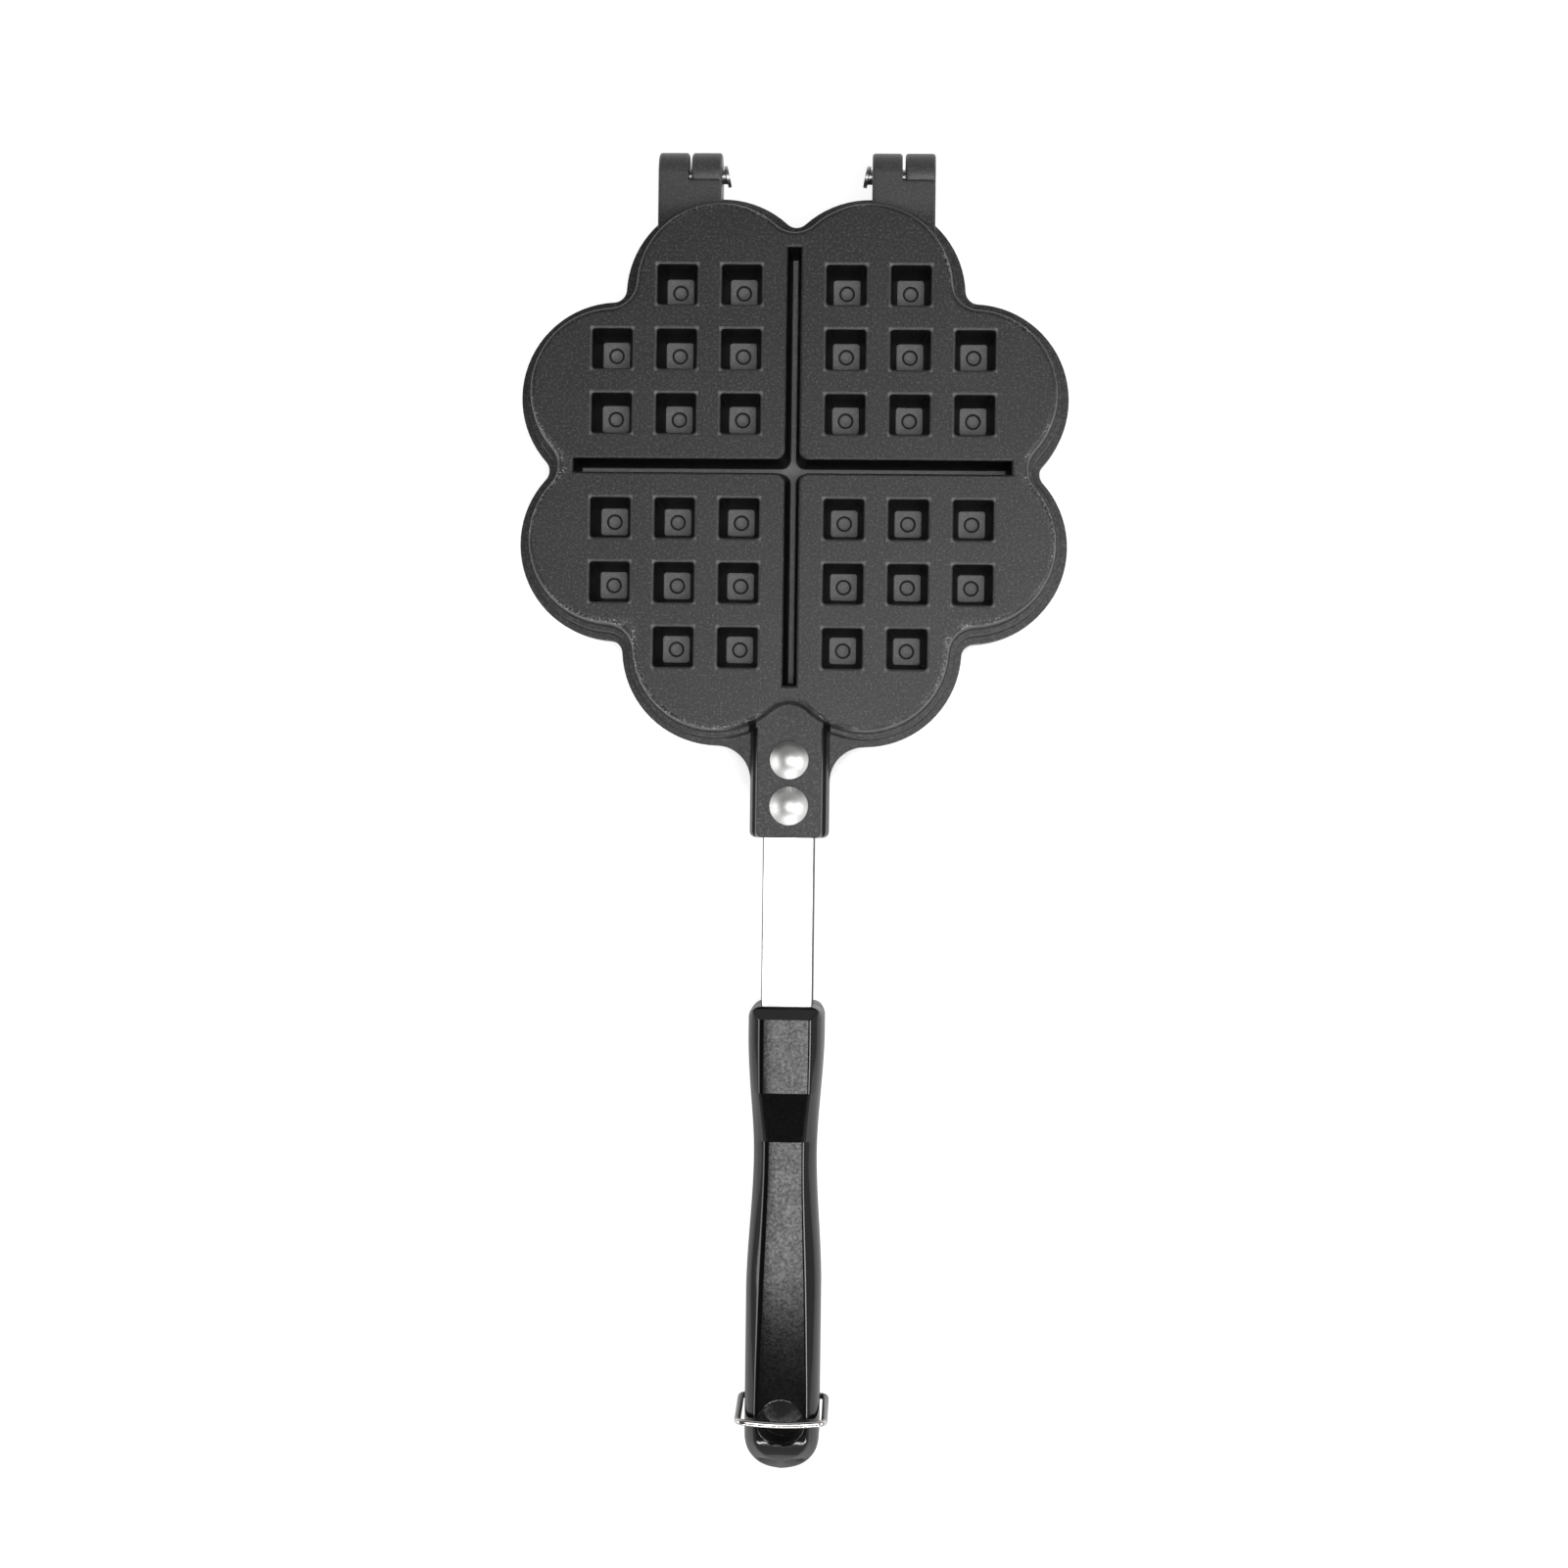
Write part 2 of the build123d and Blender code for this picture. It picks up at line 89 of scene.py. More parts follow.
class Wire:
    """One output socket of a material's nodes. Arithmetic on it adds Math nodes."""

    def __init__(self, tree, socket):
        self.tree = tree
        self.socket = socket

    def add(self, kind, settings=None, inputs=None, output=0):
        """Adds a node: its type, then its settings, then the values or links of its sockets."""
        node = self.tree.nodes.new(kind)
        for name, value in (settings or {}).items():
            setattr(node, name, value)
        for name, value in (inputs or {}).items():
            if isinstance(value, Wire):
                self.tree.links.new(value.socket, node.inputs[name])
            else:
                node.inputs[name].default_value = value
        return Wire(self.tree, node.outputs[output] if len(node.outputs) else None)

    def output(self, name):
        """Another output of the node that this one comes from."""
        return Wire(self.tree, self.socket.node.outputs[name])

    def math(self, operation, first, second=0.0, clamp=False):
        """A Math node on one or two values or sockets."""
        settings = {"operation": operation, "use_clamp": clamp}
        return self.add("ShaderNodeMath", settings, {0: first, 1: second})

    def __add__(self, other):
        return self.math("ADD", self, other)

    __radd__ = __add__

    def __sub__(self, other):
        return self.math("SUBTRACT", self, other)

    def __rsub__(self, other):
        return self.math("SUBTRACT", other, self)

    def __mul__(self, other):
        return self.math("MULTIPLY", self, other)

    __rmul__ = __mul__

    def __truediv__(self, other):
        return self.math("DIVIDE", self, other)

    def absolute(self):
        return self.math("ABSOLUTE", self)

    def root(self):
        return self.math("SQRT", self)

    def larger(self, other):
        return self.math("MAXIMUM", self, other)

    def smaller(self, other):
        return self.math("MINIMUM", self, other)

    def step(self, low, high):
        """Goes from 0 to 1 as the value goes from low to high."""
        settings = {"interpolation_type": "SMOOTHSTEP"}
        return self.add(
            "ShaderNodeMapRange", settings, {"Value": self, "From Min": low, "From Max": high}
        )

    def noise(self, size_mm, detail=2.0, roughness=0.5):
        """Noise on this place, with lumps of about that size."""
        inputs = {"Vector": self, "Scale": 1 / (size_mm * MM), "Detail": detail}
        return self.add("ShaderNodeTexNoise", None, {**inputs, "Roughness": roughness})

    def mix(self, share, other):
        """This colour, with a share of another colour in its place."""
        settings = {"data_type": "RGBA"}
        inputs = {0: share, 6: self, 7: other}
        return self.add("ShaderNodeMix", settings, inputs, output=2)


def start_finish(name):
    """A new material, and the place on its surface, in the frame's metres."""
    material = bpy.data.materials.new(name)
    material.use_nodes = True
    material.node_tree.nodes.clear()
    return material, Wire(material.node_tree, None).add("ShaderNodeTexCoord", output="Object")


def end_finish(place, **sockets):
    """Closes a material with its Principled shader."""
    inputs = {name.replace("_", " "): value for name, value in sockets.items()}
    shader = place.add("ShaderNodeBsdfPrincipled", None, inputs)
    place.add("ShaderNodeOutputMaterial", None, {"Surface": shader})


def eased_normal(place, radius_mm, height, height_mm):
    """A normal that rounds the sharp edges a little and carries a fine bump."""
    eased = place.add("ShaderNodeBevel", {"samples": 6}, {"Radius": radius_mm * MM})
    inputs = {"Height": height, "Distance": height_mm * MM, "Strength": 1.0, "Normal": eased}
    return place.add("ShaderNodeBump", None, inputs)


def colour_of(place, value):
    """One plain colour, to mix others into."""
    return place.add("ShaderNodeMix", {"data_type": "RGBA"}, {0: 0.0, 6: value}, output=2)


def coating():
    """The non-stick coat of both castings, worked out from the same sizes as their shape."""
    material, place = start_finish("coated_casting")
    middle = place.add(
        "ShaderNodeVectorMath", {"operation": "SUBTRACT"}, {0: place, 1: plate_middle}
    )
    parts = middle.add("ShaderNodeSeparateXYZ", None, {"Vector": middle})
    sides = [parts.output(i) / MM for i in range(3)]
    x, y, z = [side.absolute() for side in sides]
    nearer = x.smaller(y)
    far = x.larger(y) - lobe_centre[0]
    near = nearer - lobe_centre[1]
    inwards = face_lobe_radius - (far * far + near * near).root()
    outside = (x * x + y * y).root().step(groove_reach, groove_reach + 4.0)

    # Chips: small clumps in a narrow band along the face's rim, more of them towards the neck,
    # but none where the rim curves round the neck
    band = inwards.step(chip_band, 0.3) * inwards.step(-0.8, 0.0) * outside
    band = band * z.step(face_height - 1.7, face_height - 1.1)
    clumps = place.noise(0.55, 4.0, 0.7).step(0.54, 0.59)
    patches = (place.noise(13.0, 1.0) - sides[1] * 0.0014).step(0.45, 0.6)
    off_neck = (x.step(5.0, 10.0) + sides[1].step(0.0, 1.0)).step(0.0, 1.0)
    chips = band * clumps * patches * off_neck * 0.8

    # Pockets and grooves: how far a point is from the middle of its pocket along x and along y,
    # and from there how far it is into the wall between the pocket and the stud inside
    rows = []
    for side in (x, y):
        pitches = (side - pocket_first) / pocket_pitch
        row = pitches.math("ROUND", pitches)
        rows.append((side - pocket_first - row * pocket_pitch).absolute())
    off = rows[0].larger(rows[1])
    all_pockets = x.larger(y).step(pockets_end + 1.0, pockets_end)
    all_pockets = all_pockets * nearer.step(pockets_start - 1.0, pockets_start)
    all_pockets = all_pockets * nearer.step(bare_corner_start + 1.0, bare_corner_start)
    depth = z - pocket_floor_height
    in_pocket = (off - pocket_floor_half - depth * pocket_lean).step(1.0, 0.6) * all_pockets
    groove_wall = nearer - groove_floor_half - depth * groove_lean
    in_groove = groove_wall.step(1.0, 0.6) * outside.step(1.0, 0.0)
    either = (in_pocket + in_groove).step(0.0, 1.0) * depth.step(-1.0, -0.8)
    # The walls of the pockets and grooves, which are painted dark as painted shade
    shaded_hollow = either * z.step(face_height - 0.1, face_height - 0.9)
    # Their floors, which are painted pale as painted light
    floor = either * depth.step(0.5, 0.2)

    # Each pocket's floor has a round dimple with a ring of painted shade at its edge, and its mouth
    # a rim of painted highlight that is brightest at the corners
    from_middle = (rows[0] * rows[0] + rows[1] * rows[1]).root()
    dish = from_middle.step(0.2, dimple_radius)
    ring = from_middle.step(dimple_radius - 0.65, dimple_radius - 0.3)
    ring = ring * from_middle.step(dimple_radius + 0.15, dimple_radius)
    # Painted highlight along each pocket's mouth
    rim = off.step(pocket_half - 0.3, pocket_half) * off.step(pocket_half + 0.7, pocket_half + 0.3)
    corners = [row.step(pocket_half - 0.9, pocket_half) for row in rows]
    rim = rim * all_pockets * (0.2 + corners[0] * corners[1] * 0.5)
    rim = rim * z.step(face_height - 0.7, face_height - 0.2)

    # The neck's steep sides, which are painted dark as painted shade
    neck_side_shade = x.step(neck_side_start - 0.3, neck_side_start)
    neck_side_shade = neck_side_shade * x.step(neck_side_end + 0.3, neck_side_end)
    neck_side_shade = neck_side_shade * sides[1].step(neck_start, neck_start - 2.0) * z.step(5.0, 6.0)
    # Painted shade: the hollows and the neck's sides are also turned black through Metallic
    black = (shaded_hollow - floor + neck_side_shade).step(0.0, 1.0)

    specks = place.noise(0.6, 4.0, 0.9).step(0.5, 0.64)
    cloud = place.noise(20.0, 4.0, 0.6).step(0.35, 0.75)
    # Painted light on the lugs
    painted_lug_light = sides[1].step(lug_start, lug_start + 6.0)
    colour = colour_of(place, coat_colour).mix(specks * 0.5 + cloud * 0.03, speck_and_painted_light_colour)
    # Painted light on the lugs and painted highlight on the pockets' rims
    colour = colour.mix(painted_lug_light * 0.3, speck_and_painted_light_colour).mix(rim, speck_and_painted_light_colour)
    # Painted shade in the hollows and on the neck's sides
    colour = colour.mix((shaded_hollow + neck_side_shade).step(0.0, 1.0), painted_shade_colour)
    # Painted light on the floors of the pockets and grooves
    colour = colour.mix(floor * (0.65 + specks * 0.35), painted_floor_light_colour)
    # Painted shade in the ring round each dimple
    colour = colour.mix(floor * ring * all_pockets, painted_shade_colour)
    grain = place.noise(0.5, 4.0, 0.7)
    end_finish(
        place,
        Base_Color=colour.mix(chips, bare_metal_colour),
        Metallic=chips * 0.6 + black * 0.75,
        IOR=1.5,
        Roughness=0.3 + grain * 0.16 + shaded_hollow * 0.2 + neck_side_shade * 0.55,
        Normal=eased_normal(place, 0.5, grain + dish * floor * all_pockets * 6.0, 0.08),
    )
    return material


def dress(node, material):
    """Gives one of the frame's solids this finish alone."""
    node.data.materials.clear()
    node.data.materials.append(material)


coat = coating()
for name in ("upper_plate", "lower_plate"):
    dress(nodes[name], coat)


# Hinge pins: hinge_pin_left and hinge_pin_right
# Turned steel pins, pushed through the knuckles from the inner side until the thin head
# all but touches the lug. The heads sit a little askew.

# Painted shade for the side faces of a strip
edge_shade_colour = (0.05, 0.05, 0.05, 1)


def steel(name, colour, roughness, stretch, brush_mm, depth_mm, edge_mm=0.25, dark_beyond=1000):
    """Bare steel with fine marks, drawn out along the axes that stretch makes short.

    It is painted dark, as painted shade on its side faces, further than dark_beyond millimetres to the
    left or right.
    """
    material, place = start_finish(name)
    long_way = place.add(
        "ShaderNodeVectorMath", {"operation": "MULTIPLY"}, {0: place, 1: Vector(stretch)}
    )
    marks = long_way.noise(brush_mm, 3.0, 0.7)
    stains = place.noise(6.0, 3.0)
    parts = place.add("ShaderNodeSeparateXYZ", None, {"Vector": place})
    # Painted shade on the side faces beyond dark_beyond
    edge = (parts.absolute() / MM).step(dark_beyond, dark_beyond + 0.2)
    dulled = (*[share * 0.72 for share in colour], 1)
    metal = colour_of(place, (*colour, 1)).mix(stains.step(0.35, 0.8) * 0.25, dulled)
    end_finish(
        place,
        Base_Color=metal.mix(edge, edge_shade_colour),
        Metallic=1.0,
        Roughness=roughness + (marks - 0.5) * 0.14 + stains * 0.06,
        Normal=eased_normal(place, edge_mm, marks, depth_mm),
    )
    return material


pin_steel = steel(
    "pin_steel",
    (0.42, 0.42, 0.42),
    roughness=0.34,
    stretch=(1, 0.2, 0.2),
    brush_mm=0.25,
    depth_mm=0.004,
)
for name in ("hinge_pin_left", "hinge_pin_right"):
    dress(nodes[name], pin_steel)


# Straps: upper_strap and lower_strap
# Flat steel strip, polished nearly white, that joins each casting's neck to its handle.
# It is riveted under the neck and screwed inside the handle. Its edges are painted dark, as painted
# shade.

strap_steel = steel(
    "strap_steel",
    (0.8, 0.8, 0.8),
    roughness=0.3,
    stretch=(1, 0.04, 1),
    brush_mm=0.35,
    depth_mm=0.003,
    dark_beyond=6.35,
)
for name in ("upper_strap", "lower_strap"):
    dress(nodes[name], strap_steel)


# Neck rivets: two to each half, from the outside through the neck and the strap
# Steel rivets with a low dome that has a thin square rim, and a flat tail closed under
# the strap. They are turned about their own axes from one profile.

rivet_places = (76.5, 88.6)
rivet_tail = [(0.0, 3.3), (1.0, 3.3), (3.3, 3.35), (3.5, 3.5), (3.5, 4.3), (3.35, 4.5)]
rivet_shank = [(2.25, 4.5), (2.25, 9.5)]
rivet_rim = [(4.9, 9.5), (5.1, 9.62), (5.1, 9.95), (4.98, 10.12), (4.7, 10.3)]
dome_radius, dome_foot, dome_top, dome_fullness = 4.3, 10.72, 12.42, 2.06
around = 64


def in_frame(turned):
    """From millimetres about the middle of the plates to the frame, for one of the halves."""
    turn = Matrix.Rotation(pi, 4, "Y") if turned else Matrix.Identity(4)
    return Matrix.Translation(plate_middle) @ Matrix.Scale(MM, 4) @ turn


def finish_mesh(name, mesh, material, sharp_degrees=35):
    """An object from a mesh, smooth but for its sharp edges."""
    mesh.polygons.foreach_set("use_smooth", [True] * len(mesh.polygons))
    mesh.set_sharp_from_angle(angle=radians(sharp_degrees))
    mesh.materials.clear()
    mesh.materials.append(material)
    piece = bpy.data.objects.new(name, mesh)
    bpy.context.scene.collection.objects.link(piece)
    return piece


def mesh_of(made, name):
    """Turns a finished bmesh into a mesh."""
    mesh = bpy.data.meshes.new(name)
    made.to_mesh(mesh)
    made.free()
    return mesh


def turned_mesh(name, profile, steps=around):
    """A closed solid of revolution about Z, from its axis at one end to its axis at the other."""
    made = bmesh.new()
    rings = []
    for radius, height in profile:
        if radius == 0:
            rings.append([made.verts.new((0, 0, height))])
            continue
        angles = [2 * pi * k / steps for k in range(steps)]
        rings.append([made.verts.new((radius * cos(a), radius * sin(a), height)) for a in angles])
    for low, high in zip(rings, rings[1:]):
        for k in range(steps):
            n = (k + 1) % steps
            corners = [low[k % len(low)], low[n % len(low)], high[n % len(high)], high[k % len(high)]]
            made.faces.new(list(dict.fromkeys(corners)))
    bmesh.ops.recalc_face_normals(made, faces=made.faces)
    return mesh_of(made, name)


def rivet_profile(dome_steps=8):
    """Half of a rivet's section, as radius and height, from the tail's middle to the dome's."""
    shares = [1 - k / dome_steps for k in range(dome_steps + 1)]
    sag = dome_top - dome_foot
    dome = [(dome_radius * share, dome_top - sag * share**dome_fullness) for share in shares]
    return rivet_tail + rivet_shank + rivet_rim + dome


rivet_steel = steel(
    "rivet_steel",
    (0.78, 0.78, 0.77),
    roughness=0.42,
    stretch=(0.6, 0.6, 1),
    brush_mm=0.5,
    depth_mm=0.001,
    edge_mm=0.1,
)
for side, body, turned in (("upper", "lid", False), ("lower", "base", True)):
    for place_name, distance in zip(("plate_side", "handle_side"), rivet_places):
        node = f"neck_rivet_{side}_{place_name}"
        mesh = turned_mesh(node + "_turned", rivet_profile())
        mesh.transform(in_frame(turned) @ Matrix.Translation((0, -distance, 0)))
        rivet = finish_mesh(node + "_turned", mesh, rivet_steel)
        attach(rivet, body)
        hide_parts(node)


# Handles: upper_handle and lower_handle
# Two like mouldings of black phenolic plastic, with glossy rounded sides and a matt, grained panel
# that steps down behind the thumb pad. Each has a slot for its strap, a sunk screw and half of the
# hanging hole, and the lower one has sockets in its sides for the ends of the wire.

# Places along a handle, named s in the functions, are counted from its front
handle_front = 141.2
handle_length = 123.0
half_gap = 0.4
end_radius, end_fullness = 9.9, 2.4
front_half, waist_half = 10.0, 8.3
front_round, front_drop = 3.2, 3.0
straight, narrowest, widest = 7.5, 40.0, 76.0
pad_end, slope_foot = 22.4, 35.7
pad_height, foot_height, grip_height = 15.5, 10.6, 12.0
pad_panel, foot_panel, grip_panel = 6.5, 5.0, 6.85
shoulder_drop = 2.6
side_lean = 0.7
latch_bar = 108.7
latch_swing, latch_pivot = 20.13, (106.3, -8.0)
hole_place, hole_radius, hole_lip = 109.3, 5.8, 0.8
screw_place = 27.5
screw_head_radius, screw_head_depth = 3.1, 2.5
screw_shank_radius, screw_depth = 1.5, 12.0
slot_half, slot_low, slot_high, slot_end = 6.9, 4.4, 6.6, 46.1
socket_radius, socket_start, socket_end = 0.9, 6.3, 14.0
cutter_reach = 3.0
tip_half, tip_panel_half = 0.7, 0.35
plastic_black = (0.002, 0.002, 0.002, 1)
plastic_smudge = (0.006, 0.006, 0.006, 1)
plastic_peel = (0.007, 0.007, 0.007, 1)


def ease(s, start, end, before, after):
    """Goes smoothly from before to after as s goes from start to end."""
    t = min(max((s - start) / (end - start), 0.0), 1.0)
    return before + (after - before) * t * t * (3 - 2 * t)


def round_end(s, half):
    """Half the width at s of an outline that is half wide on each side and ends in a round."""
    along = max(s - (handle_length - end_radius), 0) / half
    return half * max(1 - along**end_fullness, 0) ** (1 / end_fullness)


def half_width(s):
    """Half the width at s: a rounded front, a waist and a round end."""
    if s < front_round:
        rest = front_round - max(s, 0)
        return front_half - front_round + sqrt(front_round**2 - rest**2)
    if s < narrowest:
        return ease(s, straight, narrowest, front_half, waist_half)
    if s < widest:
        return ease(s, narrowest, widest, waist_half, end_radius)
    return max(round_end(s, end_radius), tip_half)


def top_height(s):
    """The height of the outer face: pad, slope and grip, low enough for the latch to swing over."""
    if s < front_round:
        front_edge = max(0.6 - s, 0) ** 2 * 0.8
        return pad_height - front_drop * (1 - max(s, 0) / front_round) - front_edge
    if s < slope_foot:
        share = max(s - pad_end, 0) / (slope_foot - pad_end)
        return pad_height + (foot_height - pad_height) * share
    rise = ease(s, slope_foot, (slope_foot + latch_bar) / 2, foot_height, grip_height)
    under_latch = sqrt(max(latch_swing**2 - (s - latch_pivot[0]) ** 2, 0)) + latch_pivot[1]
    return rise if s < latch_bar else min(rise, under_latch)


def panel_half(s):
    """Half the width of the panel, which never reaches the sides."""
    if s < front_round:
        full = front_half - side_lean
        wide = full + (pad_panel - full) * s / front_round
    elif s < slope_foot:
        share = max(s - pad_end, 0) / (slope_foot - pad_end)
        wide = pad_panel + (foot_panel - pad_panel) * share
    elif s < handle_length - end_radius:
        wide = ease(s, slope_foot, handle_length - end_radius, foot_panel, grip_panel)
    else:
        wide = max(round_end(s, grip_panel), tip_panel_half)
    return min(wide, 0.92 * half_width(s))


def rounded(corners, reaches, steps):
    """A closed outline with each corner turned into a curve that starts at its reach."""
    outline = []
    count = len(corners)
    for k in range(count):
        here = Vector(corners[k])
        before = Vector(corners[k - 1]) - here
        after = Vector(corners[(k + 1) % count]) - here
        start = here + before.normalized() * min(reaches[k], 0.45 * before.length)
        end = here + after.normalized() * min(reaches[k], 0.45 * after.length)
        for j in range(steps + 1):
            t = j / steps
            outline.append(start * (1 - t) ** 2 + here * 2 * t * (1 - t) + end * t * t)
    return outline


def handle_section(s):
    """The outline across the handle at s: upright sides, rounded shoulders and the panel."""
    half, top, panel = half_width(s), top_height(s), panel_half(s)
    lean = min(side_lean, (half - panel) / 3)
    drop = shoulder_drop * min((handle_length - s) / (end_radius - grip_panel), 1)
    brow = min((pad_height if s < front_round else top) - drop, top - 0.1)
    upright = half_gap + (brow - half_gap) * 0.55
    right = [(half, half_gap), (half, upright), (half - lean, brow), (panel, top)]
    corners = right + [(-x, z) for x, z in reversed(right)]
    reaches = [0.6, 2.5, 1.5, 0.95]
    return rounded(corners, reaches + reaches[::-1], 5)


def handle_stations():
    """The places of the sections, closest together where the outline turns fastest."""
    front = [front_round * (1 - cos(radians(a))) for a in range(0, 90, 10)]
    round_start = handle_length - end_radius
    end = [round_start + end_radius * sin(radians(a)) for a in range(5, 91, 5)]
    body = [front_round + 0.4 + k for k in range(int(round_start - front_round))]
    return sorted(front + body + [front_round, pad_end, slope_foot] + end)


def handle_mesh(name):
    """The whole moulding, from its sections, before anything is cut out of it."""
    made = bmesh.new()
    rings = []
    for s in handle_stations():
        ring = [made.verts.new((p.x, -(handle_front + s), p.y)) for p in handle_section(s)]
        rings.append(ring)
    count = len(rings[0])
    for near, far in zip(rings, rings[1:]):
        for k in range(count):
            n = (k + 1) % count
            made.faces.new((near[k], near[n], far[n], far[k]))
    made.faces.new(rings[0])
    made.faces.new(list(reversed(rings[-1])))
    bmesh.ops.recalc_face_normals(made, faces=made.faces)
    return mesh_of(made, name)


def box_mesh(name, low, high):
    """A box between two corners."""
    made = bmesh.new()
    bmesh.ops.create_cube(made, size=1)
    low, high = Vector(low), Vector(high)
    for corner in made.verts:
        corner.co = (low + high) / 2 + Vector(a * b for a, b in zip(corner.co, high - low))
    return mesh_of(made, name)


def cut_away(mesh, cutters):
    """The mesh with the cutters' meshes taken out of it."""
    scene = bpy.context.scene.collection.objects
    whole = bpy.data.objects.new("whole", mesh)
    scene.link(whole)
    helpers = [whole]
    for cutter in cutters:
        tool = bpy.data.objects.new("cutter", cutter)
        scene.link(tool)
        helpers.append(tool)
        cut = whole.modifiers.new("cut", "BOOLEAN")
        cut.operation = "DIFFERENCE"
        cut.solver = "EXACT"
        cut.object = tool
    evaluated = whole.evaluated_get(bpy.context.evaluated_depsgraph_get())
    result = bpy.data.meshes.new_from_object(evaluated)
    for helper in helpers:
        bpy.data.objects.remove(helper)
    return result


def hole_cutter():
    """The hanging hole's shape, whose rounded lip follows the falling top of the handle."""
    rim = top_height(hole_place)
    lip = [
        (hole_radius + hole_lip * (1 - cos(a)), rim - hole_lip * (1 - sin(a)))
        for a in (radians(15 * k) for k in range(6))
    ]
    edge, above = lip[-1][0], rim + 3 * cutter_reach
    shaft = [(0, -cutter_reach), (hole_radius, -cutter_reach)]
    cutter = turned_mesh("hole", shaft + lip + [(edge, above), (0, above)])
    for corner in cutter.vertices:
        if corner.co.z > 0:
            corner.co.z += top_height(hole_place - corner.co.y) - rim
    cutter.transform(Matrix.Translation((0, -(handle_front + hole_place), 0)))
    return cutter


def screw_cutter():
    """The stepped hole of the screw, which opens in the inner face."""
    wide, narrow = screw_head_radius, screw_shank_radius
    head = [(0, -cutter_reach), (wide, -cutter_reach), (wide, screw_head_depth)]
    shank = [(narrow, screw_head_depth), (narrow, screw_depth), (0, screw_depth)]
    cutter = turned_mesh("screw_hole", head + shank)
    cutter.transform(Matrix.Translation((0, -(handle_front + screw_place), 0)))
    return cutter


def slot_cutter():
    """The slot of the strap, which opens in the front."""
    low = (-slot_half, -(handle_front + slot_end), slot_low)
    return box_mesh("slot", low, (slot_half, -(handle_front - 2.0), slot_high))


def socket_cutter(sign):
    """The socket of one end of the wire, which opens in the right or left side."""
    inner = [(0, socket_start), (socket_radius, socket_start)]
    outer = [(socket_radius, socket_end), (0, socket_end)]
    cutter = turned_mesh("socket", inner + outer, 32)
    cutter.transform(Matrix.Rotation(sign * pi / 2, 4, "Y"))
    cutter.transform(Matrix.Translation((0, -(handle_front + latch_pivot[0]), -latch_pivot[1])))
    return cutter


def on_panel(face):
    """Whether a face of the moulding belongs to the grained panel."""
    s = -face.center.y - handle_front
    faces_up = face.normal.z > 0.9 or (pad_end < s < slope_foot and face.normal.z > 0.8)
    inside = abs(face.center.x) < panel_half(s) - 0.2 and face.center.z > top_height(s) - 0.25
    return faces_up and inside and s > front_round - 0.4


def phenolic():
    """Glossy black plastic, with the faint waviness of a moulding."""
    material, place = start_finish("handle_gloss")
    waves = place.noise(5.0, 2.0)
    fine = place.noise(0.3, 2.0)
    smudges = place.noise(9.0, 4.0, 0.6)
    end_finish(
        place,
        Base_Color=colour_of(place, plastic_black).mix(smudges * 0.3, plastic_smudge),
        Roughness=0.05 + smudges * 0.06,
        Normal=eased_normal(place, 0.2, waves * 3.0 + fine * 0.1, 0.01),
    )
    return material


def grained():
    """The panel's matt surface, with a leathery orange-peel grain."""
    material, place = start_finish("handle_panel")
    cells = place.add(
        "ShaderNodeTexVoronoi", {"feature": "SMOOTH_F1"}, {"Vector": place, "Scale": 1 / (0.75 * MM)}
    )
    peel = place.noise(0.8, 3.0, 0.7)
    wear = place.noise(4.5, 6.0, 0.7)
    end_finish(
        place,
        Base_Color=colour_of(place, plastic_black).mix(peel * 0.5, plastic_peel),
        IOR=1.28,
        Coat_IOR=1.34,
        Coat_Roughness=0.1,
        Coat_Weight=wear * 1.8 + peel * 4.0 - 2.4,
        Roughness=0.08 + wear * 0.06,
        Normal=eased_normal(place, 0.2, cells * 0.7 + peel * 0.6, 0.006),
    )
    return material


gloss, grain_panel = phenolic(), grained()
for side, body, turned in (("upper", "lid", False), ("lower", "base", True)):
    cutters = [hole_cutter(), screw_cutter(), slot_cutter()]
    if turned:
        cutters += [socket_cutter(-1), socket_cutter(1)]
    mesh = cut_away(handle_mesh(side + "_handle_moulding"), cutters)
    handle = finish_mesh(side + "_handle_moulding", mesh, gloss, sharp_degrees=17)
    mesh.materials.append(grain_panel)
    for face in mesh.polygons:
        if on_panel(face):
            face.material_index = 1
    mesh.transform(in_frame(turned))
    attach(handle, body)
    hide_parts(side + "_handle")


# Handle screws: handle_screw_upper and handle_screw_lower
# One zinc-plated slotted screw in each handle's inner face, through the strap's end.

screw_steel = steel(
    "screw_steel",
    (0.66, 0.65, 0.62),
    roughness=0.3,
    stretch=(0.4, 0.4, 1),
    brush_mm=0.3,
    depth_mm=0.004,
    edge_mm=0.12,
)
for name in ("handle_screw_upper", "handle_screw_lower"):
    dress(nodes[name], screw_steel)


# Wire latch: wire_latch
# One bent length of nickel-plated spring wire. Its ends turn in the lower handle's sides, and
# its bar, bowed a little by hand, lies across the upper handle and keeps the mould shut.

wire_radius = 0.85
wire_end = 6.4
latch_half = 11.4
latch_bend = 2.2
pivot_y, pivot_z = -(handle_front + latch_pivot[0]), latch_pivot[1]
bar_y, bar_z = -(handle_front + latch_bar), 13.15
bar_bow = 0.5
bar_steps, bend_steps = 8, 8


